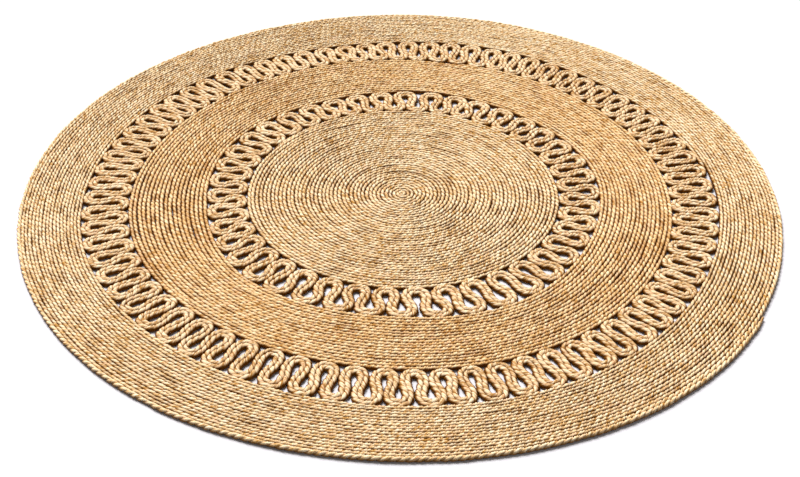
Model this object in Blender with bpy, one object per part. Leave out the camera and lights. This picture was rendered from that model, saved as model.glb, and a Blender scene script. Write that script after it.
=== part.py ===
# Round rug of jute rope, wound round and sewn side by side, lying flat.
# From the centre outwards it has a coiled centre, an openwork ring of looped rope,
# a coiled band, a second openwork ring and a coiled border.
# Metres, +Z up. The origin is on the underside, at the middle of the rug.

import random
from math import cos, pi, radians, sin

import bmesh
import bpy
from mathutils import Vector

# Driving dimensions
RUG_RADIUS = 0.750        # to the mean outline
ROPE_WIDTH = 0.0078       # one turn of the rope, as it lies
RUG_THICKNESS = 0.0110    # one rope deep: sewn side by side, it stands taller than wide
GAP = 0.0003              # between pieces that are sewn together
FACET_ROOM = 0.0007       # a loop stays this far below a faceted outer edge

# Mean radii of the edges between the pieces, inside the outline
CENTRE_RADIUS = 0.3098
MIDDLE_INNER_RADIUS = 0.3929
MIDDLE_OUTER_RADIUS = 0.5337
BORDER_INNER_RADIUS = 0.6233

# Straight sides that each round edge is made of
BORDER_SIDES = 72
MIDDLE_SIDES = 60
CENTRE_SIDES = 48

# A hand-wound edge is uneven: each row is one wave round it.
# (waves in a full turn, height in metres, degrees where a crest lies)
OUTLINE_WAVES = (
    (1, 0.0009, 345),
    (2, 0.0026, 90),
    (3, 0.0027, 77),
    (4, 0.0010, 56),
    (5, 0.0012, 15),
)
BORDER_INNER_WAVES = (
    (1, 0.0028, 262),
    (2, 0.0016, 25),
    (3, 0.0035, 60),
    (5, 0.0025, 3),
    (6, 0.0017, 14),
)
MIDDLE_OUTER_WAVES = (
    (3, 0.0028, 72),
    (4, 0.0014, 22),
)
MIDDLE_INNER_WAVES = (
    (1, 0.0028, 303),
    (2, 0.0016, 72),
    (4, 0.0025, 41),
    (5, 0.0042, 11),
)
CENTRE_WAVES = (
    (1, 0.0024, 62),
    (3, 0.0011, 112),
)

# The outermost turn ends here, so the outline steps in by a rope and then recovers
ROPE_END_DEG = 330
ROPE_END_STEP = 0.0070
ROPE_END_SPAN_DEG = 60

EDGES = {
    "outline": (RUG_RADIUS, OUTLINE_WAVES),
    "border_inner": (BORDER_INNER_RADIUS, BORDER_INNER_WAVES),
    "middle_outer": (MIDDLE_OUTER_RADIUS, MIDDLE_OUTER_WAVES),
    "middle_inner": (MIDDLE_INNER_RADIUS, MIDDLE_INNER_WAVES),
    "centre": (CENTRE_RADIUS, CENTRE_WAVES),
}

# The two openwork rings: a doubled rope laid in loops, to and fro across the ring.
# swing: how far the rope's heading turns to either side, in radians
# lean, lean_wave: how much both legs of a loop lean, and its wave round the ring
# pinch: below 0 rounds the bends, above 0 makes them pointed
# first_deg: where the first inner bend lies
# spacing_waves: (waves in a full turn, shift in radians, degrees where it is nil)
# uneven: how far a loop's own width strays, as a share of it
OUTER_LOOPS = {
    "inner_edge": "middle_outer",
    "outer_edge": "border_inner",
    "count": 74,
    "swing": 1.88,
    "lean": 0.05,
    "lean_wave": (1, 0.045, 120),
    "pinch": 0.02,
    "first_deg": -1.0,
    "spacing_waves": ((1, 0.0564, 274), (2, 0.0072, 57), (3, 0.008, 119)),
    "uneven": 0.03,
    "seed": 4,
}
INNER_LOOPS = {
    "inner_edge": "centre",
    "outer_edge": "middle_inner",
    "count": 41,
    "swing": 1.90,
    "lean": 0.08,
    "lean_wave": (1, 0.035, 210),
    "pinch": -0.03,
    "first_deg": 4.0,
    "spacing_waves": ((1, 0.0511, 301), (2, 0.0112, 104), (3, 0.009, 31)),
    "uneven": 0.03,
    "seed": 9,
}
LEAN_BALANCE = 1.2        # keeps a leaning loop's two legs equally long
LEAN_STRAY = 0.02         # how far a loop's own lean strays
BEND_STEPS = 60           # steps in working out half a loop
# Where the points of half a loop lie along it: 0 is the head of one bend and pi the next
BEND_STATIONS = (0.60, 1.15)
HALF_LOOP_STATIONS = (0.0, *BEND_STATIONS, *(pi - stop for stop in reversed(BEND_STATIONS)))

# One jute (red, green, blue), a little darker or more golden from piece to piece
JUTE_PALE = (0.66, 0.47, 0.26)
JUTE_GOLDEN = (0.62, 0.41, 0.20)
JUTE_SHADED = (0.57, 0.41, 0.23)
JUTE_ROUGHNESS = 0.92


def clear_scene():
    for old in list(bpy.data.objects):
        bpy.data.objects.remove(old, do_unlink=True)


def jute(name, colour):
    material = bpy.data.materials.new(name)
    material.use_nodes = True
    shader = material.node_tree.nodes["Principled BSDF"]
    shader.inputs["Base Color"].default_value = (*colour, 1.0)
    shader.inputs["Roughness"].default_value = JUTE_ROUGHNESS
    shader.inputs["Metallic"].default_value = 0.0
    return material


def rope_end_step(angle):
    """How far the outline steps in at an angle, past the end of the outermost turn."""
    share = (angle - radians(ROPE_END_DEG)) % (2 * pi) / radians(ROPE_END_SPAN_DEG)
    return ROPE_END_STEP * (1.0 - share * share * (3.0 - 2.0 * share)) if share < 1.0 else 0.0


def edge_radius(edge, angle):
    """The radius of a named edge at an angle, with its waves."""
    radius, waves = EDGES[edge]
    if edge == "outline":
        radius -= rope_end_step(angle)
    return radius + sum(height * cos(count * (angle - radians(crest)))
                        for count, height, crest in waves)


def on_circle(radius, angle):
    return Vector((radius * cos(angle), radius * sin(angle), 0.0))


def thicken_and_add(name, mesh, colour):
    """Gives a flat outline the rug's thickness and makes it an object."""
    bottom = mesh.faces[:]
    lifted = bmesh.ops.extrude_face_region(mesh, geom=bottom)["geom"]
    top = [item for item in lifted if isinstance(item, bmesh.types.BMVert)]
    bmesh.ops.translate(mesh, vec=(0.0, 0.0, RUG_THICKNESS), verts=top)
    bmesh.ops.recalc_face_normals(mesh, faces=mesh.faces)
    data = bpy.data.meshes.new(name)
    mesh.to_mesh(data)
    mesh.free()
    data.materials.append(jute(name, colour))
    piece = bpy.data.objects.new(name, data)
    bpy.context.scene.collection.objects.link(piece)
    return piece


def edge_circle(mesh, edge, sides):
    """A closed run of edges along a named edge of the rug."""
    verts = bmesh.ops.create_circle(mesh, segments=sides, radius=1.0)["verts"]
    for index, vert in enumerate(verts):
        angle = 2 * pi * index / sides
        vert.co = on_circle(edge_radius(edge, angle), angle)
    return list({link for vert in verts for link in vert.link_edges})


def coiled_disc(name, edge, sides, colour):
    mesh = bmesh.new()
    rim = edge_circle(mesh, edge, sides)
    bmesh.ops.contextual_create(mesh, geom=rim)
    return thicken_and_add(name, mesh, colour)


def coiled_band(name, inner_edge, outer_edge, sides, colour):
    mesh = bmesh.new()
    rims = edge_circle(mesh, inner_edge, sides) + edge_circle(mesh, outer_edge, sides)
    bmesh.ops.bridge_loops(mesh, edges=rims)
    return thicken_and_add(name, mesh, colour)


def half_loop(loops, lean, start):
    """Half a loop from one bend to the next: its points, and how far it gets along and across."""
    stops = [round(stop / pi * BEND_STEPS) for stop in HALF_LOOP_STATIONS]
    along, across = 0.0, 0.0
    points = []
    for step in range(BEND_STEPS):
        if step in stops:
            points.append((along, across))
        turn = start + pi * (step + 0.5) / BEND_STEPS
        heading = (loops["swing"] * sin(turn) + loops["pinch"] * sin(3 * turn)
                   + lean * (cos(2 * turn) - LEAN_BALANCE))
        along += cos(heading)
        across += sin(heading)
    return points, along, across


def loop_starts(loops, dice):
    """Where each loop starts, counted in loops: about one apart, unevenly."""
    widths = [1.0 + dice.uniform(-1.0, 1.0) * loops["uneven"] for _ in range(loops["count"])]
    scale = loops["count"] / sum(widths)
    starts = [0.0]
    for width in widths:
        starts.append(starts[-1] + width * scale)
    return starts


def loop_angle(loops, place):
    """The angle round the rug of a place counted in loops."""
    even = 2 * pi * place / loops["count"]
    shift = sum(size * sin(count * (even - radians(nil)))
                for count, size, nil in loops["spacing_waves"])
    return even + shift + radians(loops["first_deg"])


def loop_route(loops):
    """The middle line of the doubled rope, all round the ring."""
    dice = random.Random(loops["seed"])
    starts = loop_starts(loops, dice)
    count, height, crest = loops["lean_wave"]
    route = []
    for index in range(loops["count"]):
        here = loop_angle(loops, starts[index])
        lean = (loops["lean"] + height * cos(count * (here - radians(crest)))
                + dice.uniform(-LEAN_STRAY, LEAN_STRAY))
        out_points, out_along, out_across = half_loop(loops, lean, 0.0)
        back_points, back_along, back_across = half_loop(loops, lean, pi)
        width = (starts[index + 1] - starts[index]) / (out_along + back_along)
        places = [(starts[index] + along * width, across / out_across)
                  for along, across in out_points]
        places += [(starts[index] + (out_along + along) * width, 1.0 - across / back_across)
                   for along, across in back_points]
        for place, share in places:
            angle = loop_angle(loops, place)
            inner = edge_radius(loops["inner_edge"], angle) + ROPE_WIDTH + GAP
            outer = edge_radius(loops["outer_edge"], angle) - ROPE_WIDTH - GAP - FACET_ROOM
            route.append(on_circle(inner + (outer - inner) * share, angle))
    return route


def looped_ring(name, loops, colour):
    """A flat ribbon, two ropes wide, that follows the loops and closes on itself."""
    mesh = bmesh.new()
    route = loop_route(loops)
    pairs = []
    up = Vector((0.0, 0.0, 1.0))
    for index, point in enumerate(route):
        into = (point - route[index - 1]).normalized()
        away = (route[(index + 1) % len(route)] - point).normalized()
        side = (into + away).normalized().cross(up)
        # The outer corners of a bend stand out a little, except the one at its head
        mitre = 1.0 if index % len(HALF_LOOP_STATIONS) == 0 else 1.0 / side.dot(into.cross(up))
        turns_left = into.cross(away).z > 0
        right = ROPE_WIDTH * (mitre if turns_left else 1.0)
        left = ROPE_WIDTH * (1.0 if turns_left else mitre)
        pairs.append((mesh.verts.new(point + side * right), mesh.verts.new(point - side * left)))
    for index, (right, left) in enumerate(pairs):
        next_right, next_left = pairs[(index + 1) % len(pairs)]
        mesh.faces.new((right, next_right, next_left, left))
    return thicken_and_add(name, mesh, colour)


clear_scene()
coiled_disc("centre_coil", "centre", CENTRE_SIDES, JUTE_PALE)
looped_ring("inner_loops", INNER_LOOPS, JUTE_PALE)
coiled_band("middle_band", "middle_inner", "middle_outer", MIDDLE_SIDES, JUTE_GOLDEN)
looped_ring("outer_loops", OUTER_LOOPS, JUTE_PALE)
coiled_band("border_band", "border_inner", "outline", BORDER_SIDES, JUTE_SHADED)
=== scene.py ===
import random
from math import cos, floor, pi, radians, sin, tanh

import bmesh
import bpy
from mathutils import Matrix, Vector, noise


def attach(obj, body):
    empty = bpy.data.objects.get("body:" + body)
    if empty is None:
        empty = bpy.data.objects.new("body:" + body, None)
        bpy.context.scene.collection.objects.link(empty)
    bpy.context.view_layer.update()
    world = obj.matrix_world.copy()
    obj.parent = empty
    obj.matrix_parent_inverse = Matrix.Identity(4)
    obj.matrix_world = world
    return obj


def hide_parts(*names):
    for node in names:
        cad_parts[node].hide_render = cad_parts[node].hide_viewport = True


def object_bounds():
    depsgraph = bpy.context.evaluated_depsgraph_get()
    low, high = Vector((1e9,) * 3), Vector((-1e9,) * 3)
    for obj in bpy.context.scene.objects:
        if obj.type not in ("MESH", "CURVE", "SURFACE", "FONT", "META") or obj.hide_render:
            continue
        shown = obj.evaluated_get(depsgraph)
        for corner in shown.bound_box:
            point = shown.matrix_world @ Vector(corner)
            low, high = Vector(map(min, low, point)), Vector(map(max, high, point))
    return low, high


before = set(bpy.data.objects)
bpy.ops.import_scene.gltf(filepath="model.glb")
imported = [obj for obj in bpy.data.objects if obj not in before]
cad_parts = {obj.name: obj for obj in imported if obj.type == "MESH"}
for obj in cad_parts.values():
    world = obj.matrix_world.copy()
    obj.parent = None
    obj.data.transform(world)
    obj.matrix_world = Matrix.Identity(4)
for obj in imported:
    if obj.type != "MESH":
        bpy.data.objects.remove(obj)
cadLow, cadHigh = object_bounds()
rugThickness = cadHigh.z - cadLow.z
noise.seed_set(5)             # without it, noise_vector differs from run to run


def addObject(name, data):
    made = bpy.data.objects.new(name, data)
    bpy.context.scene.collection.objects.link(made)
    return made


class Wire:
    # a socket of a shader node, so that sums on it can be written as sums

    def __init__(self, tree, socket=None):
        self.tree = tree
        self.socket = socket

    def node(self, kind, settings=None, values=None, output=0):
        made = self.tree.nodes.new(kind)
        for key, value in (settings or {}).items():
            if key == "stops":
                ramp = made.color_ramp
                while len(ramp.elements) < len(value):
                    ramp.elements.new(0.5)
                for element, (place, colour) in zip(ramp.elements, value):
                    element.position = place
                    element.color = (*colour, 1.0)
            else:
                setattr(made, key, value)
        for key, value in (values or {}).items():
            if isinstance(value, Wire):
                self.tree.links.new(value.socket, made.inputs[key])
            else:
                made.inputs[key].default_value = value
        return Wire(self.tree, made.outputs[output])

    def feed(self, socket):
        self.tree.links.new(self.socket, socket)

    def math(self, operation, *others):
        return self.node("ShaderNodeMath", {"operation": operation}, dict(enumerate((self, *others))))

    def __add__(self, other):
        return self.math("ADD", other)

    __radd__ = __add__

    def __sub__(self, other):
        return self.math("SUBTRACT", other)

    def __rsub__(self, other):
        return self.node("ShaderNodeMath", {"operation": "SUBTRACT"}, {0: other, 1: self})

    def __mul__(self, other):
        return self.math("MULTIPLY", other)

    __rmul__ = __mul__

    def __abs__(self):
        return self.math("ABSOLUTE")

    def between(self, low, high):
        # 0 below low and 1 above high, smoothly
        values = {"Value": self, "From Min": low, "From Max": high}
        return self.node("ShaderNodeMapRange", {"interpolation_type": "SMOOTHSTEP"}, values)

    def part(self, axis):
        return self.node("ShaderNodeSeparateXYZ", {}, {"Vector": self}, output=axis)

    def stretched(self, x, y, z):
        return self.node("ShaderNodeVectorMath", {"operation": "MULTIPLY"}, {0: self, 1: (x, y, z)})

    def noise(self, scale, detail, roughness):
        values = {"Vector": self, "Scale": scale, "Detail": detail, "Roughness": roughness}
        return self.node("ShaderNodeTexNoise", {}, values)

    def mixed(self, first, second):
        # the first colour where this is 0, the second where it is 1
        first, second = [tone if isinstance(tone, Wire) else (*tone, 1.0) for tone in (first, second)]
        values = {0: self, 6: first, 7: second}
        return self.node("ShaderNodeMix", {"data_type": "RGBA"}, values, output=2)


studio = {
    "lens": 67.6,
    "cameraPlace": (0.0, -2.4653, 1.6897),
    "cameraDownDeg": 36.05,
    "cameraTurnDeg": 0.065,
    "cameraRollDeg": 0.857,
    "floorSize": 12.0,
    "floorColour": (0.605, 0.59, 0.615),
    "floorRoughness": 0.9,
    "white": (1.0, 1.0, 1.0, 1.0),
    "skyStrength": 0.30,      # of the light that the sky gives
    "backdrop": 1.0,          # how bright the sky itself looks
    "keyFrom": (-0.27, 0.50, 0.84),
    "keyAngleDeg": 34.0,
    "keyStrength": 5.5,
}


def addCamera():
    camera = addObject("camera", bpy.data.cameras.new("camera"))
    camera.data.lens = studio["lens"]
    turn = Matrix.Rotation(radians(studio["cameraTurnDeg"]), 4, "Z")
    tip = Matrix.Rotation(radians(90.0 - studio["cameraDownDeg"]), 4, "X")
    roll = Matrix.Rotation(radians(studio["cameraRollDeg"]), 4, "Z")
    camera.matrix_world = Matrix.Translation(studio["cameraPlace"]) @ turn @ tip @ roll
    bpy.context.scene.camera = camera


def addFloor():
    shape = bmesh.new()
    bmesh.ops.create_grid(shape, x_segments=1, y_segments=1, size=studio["floorSize"] / 2)
    data = bpy.data.meshes.new("floor")
    shape.to_mesh(data)
    shape.free()
    paint = bpy.data.materials.new("floor")
    paint.use_nodes = True
    shader = paint.node_tree.nodes["Principled BSDF"]
    shader.inputs["Base Color"].default_value = (*studio["floorColour"], 1.0)
    shader.inputs["Roughness"].default_value = studio["floorRoughness"]
    data.materials.append(paint)
    addObject("floor", data)


def addLight():
    world = bpy.data.worlds.new("studio")
    world.use_nodes = True
    tree = world.node_tree
    tree.nodes.remove(tree.nodes["Background"])
    start = Wire(tree)
    background = "ShaderNodeBackground"
    sky = start.node(background, {}, {"Color": studio["white"], "Strength": studio["skyStrength"]})
    backdrop = start.node(background, {}, {"Color": studio["white"], "Strength": studio["backdrop"]})
    seen = start.node("ShaderNodeLightPath", output="Is Camera Ray")
    both = start.node("ShaderNodeMixShader", {}, {0: seen, 1: sky, 2: backdrop})
    both.feed(tree.nodes["World Output"].inputs["Surface"])
    bpy.context.scene.world = world
    lamp = bpy.data.lights.new("key", "SUN")
    lamp.angle = radians(studio["keyAngleDeg"])
    lamp.energy = studio["keyStrength"]
    key = addObject("key", lamp)
    key.matrix_world = Vector(studio["keyFrom"]).to_track_quat("Z", "Y").to_matrix().to_4x4()
    bpy.context.scene.view_settings.view_transform = "Standard"


# Where the pieces meet: the mean radius of each edge, and its waves as
# (waves in a full turn, height, degrees of a crest)
edges = {
    "outline": (0.7500, ((1, 0.0009, 345), (2, 0.0026, 90), (3, 0.0027, 77), (4, 0.0010, 56),
                         (5, 0.0012, 15))),
    "borderInner": (0.6233, ((1, 0.0028, 262), (2, 0.0016, 25), (3, 0.0035, 60), (5, 0.0025, 3),
                             (6, 0.0017, 14))),
    "middleOuter": (0.5337, ((3, 0.0028, 72), (4, 0.0014, 22))),
    "middleInner": (0.3929, ((1, 0.0028, 303), (2, 0.0016, 72), (4, 0.0025, 41), (5, 0.0042, 11))),
    "centre": (0.3098, ((1, 0.0024, 62), (3, 0.0011, 112))),
}


def edgeRadius(edge, angle):
    radius, waves = edges[edge]
    return radius + sum(high * cos(count * (angle - radians(crest))) for count, high, crest in waves)


def onRug(radius, angle):
    return Vector((radius * cos(angle), radius * sin(angle), 0.0))


def ease(share):
    share = min(max(share, 0.0), 1.0)
    return share * share * (3.0 - 2.0 * share)


# Half of a section through the rope's two strands, in half widths; the rest is its mirror image
pressedStrand = ((0.0, 0.79), (0.84, 0.52), (0.84, -0.52))
looseStrand = ((0.0, 0.76), (0.72, 0.72), (1.0, 0.0), (0.72, -0.72))
edgeStrand = ((0.0, 0.52), (0.58, 0.72), (1.0, 0.0), (0.58, -0.72))

ropeFeel = {
    "lay": 0.0285,            # length of one full twist
    "stationsPerLay": 9,
    "layStrays": ((3.2, 0.31), (0.8, 0.07)),   # how far the twist runs ahead, and over what length
    "slub": 0.07,             # share by which its width swells and thins
    "slubLength": 0.035,
    "gape": 0.13,             # how much thinner it is where a gap opens beside it
    "gapeLength": 0.035,
    "gapeEnds": (0.32, 0.72), # how strong the noise is where a gap starts and where it is full
    "lift": 0.0007,           # how far it rises off the floor here and there
    "liftLength": 0.09,
    "lump": 0.0006,           # height of the small lumps that the fibres make
    "lumpLength": 0.009,
    "wander": 0.0007,         # how far it strays sideways from its row
    "wanderLength": 0.06,
    "spreadBelow": 0.65,      # it widens downwards from this height, in half widths over its middle
    "flank": 0.45,            # how much of a half width is stretched upwards as its flank
    "flat": 0.013,            # its width pressed flat, before it is sewn
}
noiseReach = 1.6              # brings Blender's noise to about -1 to 1
noiseLayers = {"slub": 3.1, "gape": 9.4, "lift": 7.7, "twist": 5.3}
ropeApart = 50.0              # between the places of two ropes in one piece, so that their fibres differ


class Run:
    # one length of rope: the stations that it passes, how wide it is there, and how far along

    def __init__(self, closed=False, along=0.0):
        self.points = []
        self.widths = []
        self.along = []
        self.closed = closed
        self.start = along

    def add(self, point, width=1.0):
        step = (point - self.points[-1]).length if self.points else 0.0
        self.along.append((self.along[-1] if self.along else self.start) + step)
        self.points.append(point)
        self.widths.append(width)


def ropeNoise(along, length, seed, layer):
    # smooth and random along the rope, from -1 to 1
    return noiseReach * noise.noise(Vector((along / length, seed, noiseLayers[layer])))


def rugNoise(x, y, length, layer):
    # smooth and random over the rug, from -1 to 1
    return noiseReach * noise.noise(Vector((x / length, y / length, layer)))


def finishRun(run, seed):
    # the rope's own unevenness, which goes on top of the row that it follows
    low, high = ropeFeel["gapeEnds"]
    for index, along in enumerate(run.along):
        swell = ropeNoise(along, ropeFeel["slubLength"], seed, "slub")
        gape = ropeNoise(along, ropeFeel["gapeLength"], seed, "gape")
        thinner = ropeFeel["gape"] * ease((gape - low) / (high - low))
        run.widths[index] *= 1.0 + ropeFeel["slub"] * swell - thinner
        rise = 0.5 + 0.5 * ropeNoise(along, ropeFeel["liftLength"], seed, "lift")
        run.points[index].z += ropeFeel["lift"] * min(max(rise, 0.0), 1.0)
    return run


def twists(run, seed):
    # how far the rope has turned at each station
    if run.closed:
        whole = run.along[-1] + (run.points[0] - run.points[-1]).length
        turns = round(whole / ropeFeel["lay"])
        return [-2 * pi * turns * along / whole for along in run.along]
    turned = []
    for along in run.along:
        twist = -2 * pi * along / ropeFeel["lay"]
        for size, length in ropeFeel["layStrays"]:
            twist += size * ropeNoise(along, length, seed, "twist")
        turned.append(twist)
    return turned


def sectionCurve(section, halfWidth):
    curve = bpy.data.curves.new("section", "CURVE")
    curve.dimensions = "2D"
    line = curve.splines.new("POLY")
    line.points.add(len(section) - 1)
    for point, (x, y) in zip(line.points, section):
        point.co = (x * halfWidth, y * halfWidth, 0.0, 1.0)
    line.use_cyclic_u = True
    return addObject("section", curve)


def sweptMesh(name, runs, section, halfWidth, seed):
    # the section swept along each run, turning as it goes
    holder = sectionCurve(section, halfWidth)
    curve = bpy.data.curves.new(name, "CURVE")
    curve.dimensions = "3D"
    curve.twist_mode = "Z_UP"
    curve.bevel_mode = "OBJECT"
    curve.bevel_object = holder
    for run in runs:
        line = curve.splines.new("POLY")
        line.points.add(len(run.points) - 1)
        line.points.foreach_set("co", [value for point in run.points for value in (*point, 1.0)])
        line.points.foreach_set("radius", run.widths)
        line.points.foreach_set("tilt", twists(run, seed))
        line.use_cyclic_u = run.closed
    route = addObject(name + "_line", curve)
    shown = route.evaluated_get(bpy.context.evaluated_depsgraph_get())
    data = bpy.data.meshes.new_from_object(shown)
    bpy.data.objects.remove(route)
    bpy.data.objects.remove(holder)
    data.name = name
    return data


def pressRope(data, runs, section, width, height, spread):
    # pressed side by side, the rope stands taller than wide, and it widens where it rests
    middles = [point for run in runs for point in run.points]
    rises = []
    for index, vert in enumerate(data.vertices):
        middle = middles[index // len(section)]
        rise = (vert.co.z - middle.z) / (width / 2)
        rises.append(rise)
        vert.co.xy += spread * ease(ropeFeel["spreadBelow"] - rise) * (vert.co.xy - middle.xy)
        vert.co.z += (height - width) / 2 * tanh(rise / ropeFeel["flank"]) + height / 2
        vert.co += ropeFeel["lump"] * noise.noise_vector(vert.co / ropeFeel["lumpLength"])
        vert.co.z = max(vert.co.z, 0.0)
    return rises


def sweepRope(name, runs, width, height, halfSection, spread, seed):
    section = [*halfSection, *((-x, -y) for x, y in halfSection)]
    data = sweptMesh(name, runs, section, width / 2, seed)

    # each vertex keeps where it lies in the untwisted rope, for the fibres to follow, and how high it
    # rises above the rope's middle, which the painted shade low on its flanks follows
    places = []
    for number, run in enumerate(runs):
        for along in run.along:
            for x, y in section:
                places += (along + ropeApart * number, x, y)
    strand = data.attributes.new("strand", "FLOAT_VECTOR", "POINT")
    strand.data.foreach_set("vector", places)
    rises = pressRope(data, runs, section, width, height, spread)
    data.attributes.new("rise", "FLOAT", "POINT").data.foreach_set("value", rises)

    shape = bmesh.new()
    shape.from_mesh(data)
    ends = [edge for edge in shape.edges if edge.is_boundary]
    bmesh.ops.holes_fill(shape, edges=ends, sides=0)
    bmesh.ops.recalc_face_normals(shape, faces=shape.faces)
    shape.to_mesh(data)
    shape.free()
    data.shade_smooth()
    return addObject(name, data)


def finishPiece(piece, part, paint, flat):
    # what every piece of rope tells the frame
    piece.data.materials.append(paint)
    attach(piece, "root")
    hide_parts(part["node"])


# Patterns of the jute: how often each changes along the rope and across it, detail and roughness
grain = {
    "fibres": (66.0, 4.6, 2.0, 0.62),
    "hairs": (130.0, 16.0, 2.0, 0.55),
    "streaks": (42.0, 1.7, 1.0, 0.5),
    "stretches": (13.0, 0.8, 1.0, 0.5),
    "flecks": (26.0, 1.1, 1.0, 0.5),
    "blushes": (-19.0, 0.7, 1.0, 0.5),
}
creaseGrain = {"along": 190.0, "slant": 2.4, "across": 0.9, "detail": 1.0, "roughness": 0.5}
zoneGrain = {"scale": 7.0, "detail": 2.0, "roughness": 0.5}
juteSurface = {
    "roughness": 0.82,
    "hairRoughness": 0.14,
    "fibreRelief": 0.6,
    "hairRelief": 0.4,
    "creaseRelief": 0.9,
    "bump": 0.55,
    "bumpHeight": 0.0006,
    "gloss": 0.08,
}

paleJute = {
    "tones": ((0.0, (0.44, 0.21, 0.035)), (0.28, (0.75, 0.50, 0.245)), (0.56, (0.85, 0.655, 0.395)),
              (1.0, (0.88, 0.755, 0.535))),
    "tone": 0.52,             # where on the tones plain jute lies; each pattern moves it this much:
    "stretches": 1.3,
    "streaks": 1.6,
    "fibres": 1.2,
    "zones": 0.5,
    "creases": 1.7,
    "fleck": (0.48, 0.19, 0.015),
    "fleckEnds": (0.62, 0.74),
    "fleckShare": 0.6,
    "blush": (0.85, 0.54, 0.34),
    "blushEnds": (0.56, 0.7),
    "blushShare": 0.5,
    "strandGrooveShade": (0.34, 0.15, 0.015),   # painted shade in the groove between the two strands
    "strandGrooveShadeWidth": 0.24,
    "strandGrooveShadeShare": 0.75,
    "deep": (0.15, 0.048, 0.001),  # painted shade low on the rope's flanks, down between the turns
    "deepShadeEnds": (0.30, 0.85),
}
goldenJute = {
    **paleJute,
    "tones": ((0.0, (0.41, 0.19, 0.04)), (0.28, (0.705, 0.42, 0.17)), (0.56, (0.815, 0.57, 0.295)),
              (1.0, (0.86, 0.70, 0.445))),
    "deep": (0.17, 0.05, 0.001),
}
loopJute = {
    **paleJute,
    "tones": ((0.0, (0.36, 0.17, 0.04)), (0.28, (0.61, 0.385, 0.18)), (0.56, (0.745, 0.545, 0.32)),
              (1.0, (0.82, 0.69, 0.48))),
    "fibres": 1.6,
    "creases": 2.2,
    "deep": (0.17, 0.055, 0.001),
    "deepShadeEnds": (0.24, 0.80),
    "strandGrooveShade": (0.26, 0.10, 0.01),
    "strandGrooveShadeWidth": 0.30,
    "strandGrooveShadeShare": 0.8,
}
edgeJute = {
    **paleJute,
    # painted shade on the outermost turn is lighter, as its outer flank lies open to the light
    "deep": (0.22, 0.10, 0.025),
    "deepShadeEnds": (-0.3, 0.7),
    "strandGrooveShade": (0.34, 0.16, 0.04),
    "strandGrooveShadeWidth": 0.4,
    "strandGrooveShadeShare": 0.8,
}


def juteMaterial(name, jute):
    paint = bpy.data.materials.new(name)
    paint.use_nodes = True
    shader = paint.node_tree.nodes["Principled BSDF"]
    start = Wire(paint.node_tree)
    strand = start.node("ShaderNodeAttribute", {"attribute_name": "strand"}, output="Vector")
    rise = start.node("ShaderNodeAttribute", {"attribute_name": "rise"}, output="Fac")
    place = start.node("ShaderNodeTexCoord", output="Object")
    along, across = strand.part("X"), strand.part("Y")

    patterns = {}
    for kind, (length, breadth, detail, roughness) in grain.items():
        patterns[kind] = strand.stretched(length, breadth, breadth).noise(1.0, detail, roughness)
    slanted = {"X": along * creaseGrain["along"] + across * creaseGrain["slant"],
               "Y": across * creaseGrain["across"]}
    slanted = start.node("ShaderNodeCombineXYZ", {}, slanted)
    patterns["creases"] = slanted.noise(1.0, creaseGrain["detail"], creaseGrain["roughness"])
    patterns["zones"] = place.noise(zoneGrain["scale"], zoneGrain["detail"], zoneGrain["roughness"])

    tone = (patterns["stretches"] - 0.5) * jute["stretches"] + jute["tone"]
    for kind in ("streaks", "fibres", "zones", "creases"):
        tone = tone + (patterns[kind] - 0.5) * jute[kind]
    body = start.node("ShaderNodeValToRGB", {"stops": jute["tones"]}, {"Fac": tone})
    flecks = patterns["flecks"].between(*jute["fleckEnds"])
    body = (flecks * jute["fleckShare"]).mixed(body, jute["fleck"])
    blushes = patterns["blushes"].between(*jute["blushEnds"])
    body = (blushes * jute["blushShare"]).mixed(body, jute["blush"])
    # painted shade: the base colour darkens along the groove between the two strands
    strandGrooveShade = 1.0 - abs(across).between(0.0, jute["strandGrooveShadeWidth"])
    body = (strandGrooveShade * jute["strandGrooveShadeShare"]).mixed(body, jute["strandGrooveShade"])
    # painted shade: the base colour darkens low on the rope's flanks, down between the turns
    body = rise.between(*jute["deepShadeEnds"]).mixed(jute["deep"], body)
    body.feed(shader.inputs["Base Color"])

    rough = patterns["hairs"] * juteSurface["hairRoughness"] + juteSurface["roughness"]
    rough.feed(shader.inputs["Roughness"])
    relief = patterns["fibres"] * juteSurface["fibreRelief"]
    relief = relief + patterns["hairs"] * juteSurface["hairRelief"]
    relief = relief + patterns["creases"] * juteSurface["creaseRelief"]
    bump = {"Height": relief, "Strength": juteSurface["bump"], "Distance": juteSurface["bumpHeight"]}
    start.node("ShaderNodeBump", {}, bump, output="Normal").feed(shader.inputs["Normal"])
    shader.inputs["Specular IOR Level"].default_value = juteSurface["gloss"]
    return paint


# The coiled pieces. Each is swept as one or more pieces of rope: (name, last turn, strand, jute)
centreCoil = {
    "node": "centre_coil",
    "slot": "centre_jute",
    "seed": 11.0,
    "radius": edges["centre"][0],
    "turns": 40,
    "firstTurn": 0.02,
    "endDeg": 150,
    "middle": (0.0, -0.0045),
    "slack": (9.70, 9.93, 0.04, 0.74),   # from and to which turn the rope is thin, over how much
                                         # of a turn it gets so, and its share of the width there
    "tuck": (0.0030, 0.15),              # how far the end is tucked in, over the last part of a turn
    "pieces": (("centre_coil_rope", 40, pressedStrand, "paleJute"),),
}
middleBand = {
    "node": "middle_band",
    "slot": "golden_jute",
    "seed": 23.0,
    "inner": "middleInner",
    "outer": "middleOuter",
    "turns": 18,
    "jogFromDeg": 60,         # where the rope steps out to its next row
    "jogSpanDeg": 45,
    "startsWithin": 0.35,     # how far into that step the rope starts and ends
    "endsWithin": 0.4,
    "pieces": (("middle_band_inner_turns", 9, pressedStrand, "goldenJute"),
               ("middle_band_outer_turns", 18, pressedStrand, "goldenJute")),
}
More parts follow.
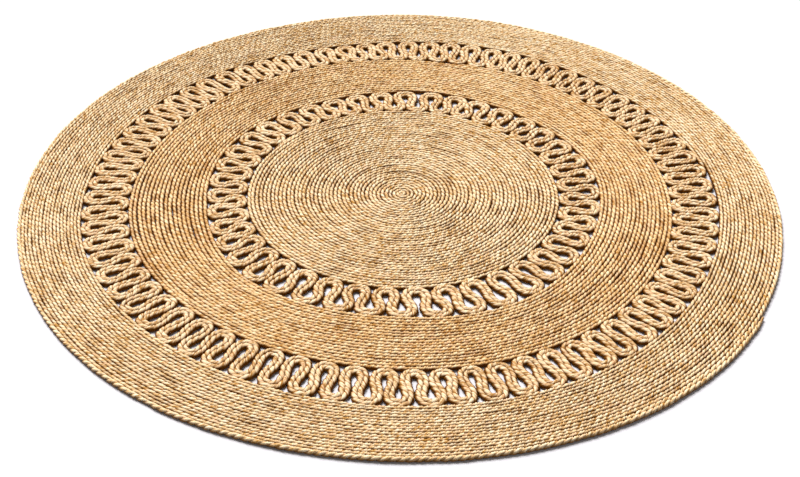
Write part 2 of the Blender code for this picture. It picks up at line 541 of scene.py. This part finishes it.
borderBand = {
    "node": "border_band",
    "slot": "border_jute",
    "seed": 37.0,
    "inner": "borderInner",
    "outer": "outline",
    "turns": 18,
    "jogFromDeg": 330,
    "jogSpanDeg": 60,
    "startsWithin": 0.35,
    "endsWithin": 0.0,
    "pieces": (("border_inner_turns", 9, pressedStrand, "paleJute"),
               ("border_outer_turns", 16.75, pressedStrand, "paleJute"),
               ("border_edge_turn", 18, edgeStrand, "edgeJute")),
}
coilFeel = {
    "width": 1.18,            # rope width as a share of a row, so that the turns press together
    "spread": 0.20,           # how much wider the rope is below, where it rests on the floor
    "taperLength": 0.035,     # of an end that is tucked under
    "taperWidth": 0.45,
    "calmRadius": 0.05,       # inside this the rope strays less and less from its row
    "tightest": 0.0045,       # radius below which the stations get no closer
    "rowApart": 4.0,          # between the noise of one row and of the next
}


def rowAt(coil, turn):
    # which row the rope lies in: it keeps to one row, then steps out to the next over the jog
    whole = floor(turn)
    jog = coil["jogSpanDeg"] / 360.0
    return whole + ease((turn - whole - 1.0 + jog) / jog)


def coilPoint(coil, turn):
    if "radius" in coil:
        angle = radians(coil["endDeg"]) + 2 * pi * turn
        row = turn
        share = turn / coil["turns"]
        deep, span = coil["tuck"]
        radius = coil["radius"] * share - deep * ease((turn - coil["turns"] + span) / span)
    else:
        angle = radians(coil["jogFromDeg"] + coil["jogSpanDeg"]) + 2 * pi * turn
        row = rowAt(coil, turn)
        share = (row + 0.5) / coil["turns"]
        inner = edgeRadius(coil["inner"], angle)
        radius = inner + (edgeRadius(coil["outer"], angle) - inner) * share
    layer = coilFeel["rowApart"] * row + coil["seed"]
    stray = rugNoise(radius * cos(angle), radius * sin(angle), ropeFeel["wanderLength"], layer)
    radius += min(radius / coilFeel["calmRadius"], 1.0) * ropeFeel["wander"] * stray
    point = onRug(radius, angle)
    if "middle" in coil:
        point.xy += Vector(coil["middle"]) * (1.0 - share)
    return point, radius


def slackWidth(coil, turn):
    if "slack" not in coil:
        return 1.0
    low, high, over, share = coil["slack"]
    return 1.0 - (1.0 - share) * ease(min(turn - low, high - turn) / over)


def coilRun(coil, fromTurn, toTurn, along):
    run = Run(along=along)
    step = ropeFeel["lay"] / ropeFeel["stationsPerLay"]
    turn = fromTurn
    while turn < toTurn:
        point, radius = coilPoint(coil, turn)
        run.add(point, slackWidth(coil, turn))
        ahead = step / max(radius, coilFeel["tightest"]) / (2 * pi)
        # the last two stations are never closer than half a step
        turn = turn + ahead if toTurn - turn > 1.5 * ahead else toTurn
    run.add(coilPoint(coil, toTurn)[0])
    return run


def taperEnd(run, atStart):
    thin = coilFeel["taperWidth"]
    for index, along in enumerate(run.along):
        away = along - run.along[0] if atStart else run.along[-1] - along
        run.widths[index] *= thin + (1.0 - thin) * ease(away / coilFeel["taperLength"])


def coilEnds(coil):
    # first and last place of the rope, counted in turns
    if "radius" in coil:
        return coil["firstTurn"], coil["turns"]
    jog = coil["jogSpanDeg"] / 360.0
    return -jog * coil["startsWithin"], coil["turns"] - jog * (1.0 - coil["endsWithin"])


def rowWidth(coil):
    whole = coil["radius"] if "radius" in coil else edges[coil["outer"]][0] - edges[coil["inner"]][0]
    return whole / coil["turns"]


def addCoil(coil, paints):
    first, last = coilEnds(coil)
    width = rowWidth(coil) * coilFeel["width"]
    height = rugThickness - ropeFeel["lift"]
    start, along = first, 0.0
    for name, until, strand, jute in coil["pieces"]:
        end = min(until, last)
        run = coilRun(coil, start, end, along)
        if start == first and "radius" not in coil:
            taperEnd(run, True)
        if end == last:
            taperEnd(run, False)
        finishRun(run, coil["seed"])
        piece = sweepRope(name, [run], width, height, strand, coilFeel["spread"], coil["seed"])
        length = run.along[-1] - along
        turns = end - start
        finishPiece(piece, coil, paints[jute], (ropeFeel["flat"] * turns, length / turns))
        print(f"{name}: {length:.1f} m of rope, {len(piece.data.polygons)} faces")
        start, along = end, run.along[-1]


# The openwork rings: a doubled rope whose heading swings to and fro, as in the solids.
# pinch rounds the bends; spacing is (waves in a full turn, shift in radians, degrees where it is nil)
outerLoops = {
    "name": "outer_loops_rope",
    "node": "outer_loops",
    "slot": "loop_jute",
    "seed": 4,
    "inner": "middleOuter",
    "outer": "borderInner",
    "count": 74,
    "swing": 1.64,
    "lean": 0.05,
    "leanWave": (1, 0.045, 120),
    "pinch": -0.50,
    "firstDeg": -1.0,
    "spacing": ((1, 0.0564, 274), (2, 0.0072, 57), (3, 0.008, 119)),
    "uneven": 0.03,
}
innerLoops = {
    "name": "inner_loops_rope",
    "node": "inner_loops",
    "slot": "loop_jute",
    "seed": 9,
    "inner": "centre",
    "outer": "middleInner",
    "count": 41,
    "swing": 1.66,
    "lean": 0.08,
    "leanWave": (1, 0.035, 210),
    "pinch": -0.50,
    "firstDeg": 4.0,
    "spacing": ((1, 0.0511, 301), (2, 0.0112, 104), (3, 0.009, 31)),
    "uneven": 0.03,
}
loopRope = {
    "width": 0.0104,
    "spread": 0.46,
    "apart": 0.0090,          # between the middles of the two ropes
    "margin": 0.0083,         # from a band's edge to the middle of the doubled rope
    "leanBalance": 1.2,       # keeps a leaning loop's two legs equally long
    "leanStray": 0.02,
    "swingStray": 0.06,       # how much fuller or slimmer each bend may be, as a share
    "steps": 60,              # in half a loop
    "shapeSeed": 100,         # added to a ring's seed, for the shapes of its bends
}


def halfLoop(loops, swing, lean, start):
    # half a loop from one bend to the next: its points, and how far it gets along and across
    along, across, points = 0.0, 0.0, []
    for step in range(loopRope["steps"]):
        points.append((along, across))
        turn = start + pi * (step + 0.5) / loopRope["steps"]
        heading = swing * sin(turn) + loops["pinch"] * sin(3 * turn)
        heading += lean * (cos(2 * turn) - loopRope["leanBalance"])
        along += cos(heading)
        across += sin(heading)
    return points, along, across


def loopAngle(loops, place):
    # the angle round the rug of a place counted in loops
    even = 2 * pi * place / loops["count"]
    shift = sum(size * sin(count * (even - radians(nil))) for count, size, nil in loops["spacing"])
    return even + shift + radians(loops["firstDeg"])


def loopStarts(loops, dice):
    # where each loop starts, counted in loops: about one apart, unevenly
    widths = [1.0 + dice.uniform(-1.0, 1.0) * loops["uneven"] for _ in range(loops["count"])]
    scale = loops["count"] / sum(widths)
    starts = [0.0]
    for width in widths:
        starts.append(starts[-1] + width * scale)
    return starts


def loopRoute(loops):
    # the middle line of the doubled rope, all round the ring
    dice = random.Random(loops["seed"])
    shapeDice = random.Random(loops["seed"] + loopRope["shapeSeed"])
    starts = loopStarts(loops, dice)
    count, high, crest = loops["leanWave"]
    route = []
    for start, nextStart in zip(starts, starts[1:]):
        lean = loops["lean"] + high * cos(count * (loopAngle(loops, start) - radians(crest)))
        lean += dice.uniform(-loopRope["leanStray"], loopRope["leanStray"])
        fuller = [1.0 + shapeDice.uniform(-1.0, 1.0) * loopRope["swingStray"] for _ in range(2)]
        goes, goesAlong, goesAcross = halfLoop(loops, loops["swing"] * fuller[0], lean, 0.0)
        comes, comesAlong, comesAcross = halfLoop(loops, loops["swing"] * fuller[1], lean, pi)
        width = (nextStart - start) / (goesAlong + comesAlong)
        places = [(start + x * width, y / goesAcross) for x, y in goes]
        places += [(start + (goesAlong + x) * width, 1.0 - y / comesAcross) for x, y in comes]
        for place, share in places:
            angle = loopAngle(loops, place)
            inner = edgeRadius(loops["inner"], angle) + loopRope["margin"]
            outer = edgeRadius(loops["outer"], angle) - loopRope["margin"]
            route.append(onRug(inner + (outer - inner) * share, angle))
    return route


def besideRoute(route, offset):
    moved = []
    for index, point in enumerate(route):
        way = (route[(index + 1) % len(route)] - route[index - 1]).normalized()
        moved.append(point + Vector((way.y, -way.x, 0.0)) * offset)
    return moved


def evenRun(points, step):
    # the same closed line with stations a step apart
    ahead = [*points[1:], points[0]]
    lengths = [(after - point).length for point, after in zip(points, ahead)]
    whole = sum(lengths)
    count = round(whole / step)
    run = Run(closed=True)
    index, passed = 0, 0.0
    for station in range(count):
        target = whole * station / count
        while passed + lengths[index] < target:
            passed += lengths[index]
            index += 1
        run.add(points[index].lerp(ahead[index], (target - passed) / lengths[index]))
    return run


def addLoops(loops, paint):
    route = loopRoute(loops)
    step = ropeFeel["lay"] / ropeFeel["stationsPerLay"]
    height = rugThickness - ropeFeel["lift"]
    runs = []
    for side in (-0.5, 0.5):
        run = evenRun(besideRoute(route, side * loopRope["apart"]), step)
        runs.append(finishRun(run, loops["seed"] + side))
    name = loops["name"]
    width, spread = loopRope["width"], loopRope["spread"]
    piece = sweepRope(name, runs, width, height, looseStrand, spread, loops["seed"])
    length = sum(run.along[-1] for run in runs)
    finishPiece(piece, loops, paint, (ropeFeel["flat"] * len(runs), length / len(runs)))
    print(f"{name}: {length:.1f} m of rope, {len(piece.data.polygons)} faces")


addCamera()
addFloor()
addLight()
print("camera, floor and light are in place")

juteLooks = {"paleJute": paleJute, "goldenJute": goldenJute, "edgeJute": edgeJute, "loopJute": loopJute}
paints = {name: juteMaterial(name, look) for name, look in juteLooks.items()}
print(f"{len(paints)} kinds of jute are mixed")

for coil in (centreCoil, middleBand, borderBand):
    addCoil(coil, paints)
for loops in (innerLoops, outerLoops):
    addLoops(loops, paints["loopJute"])
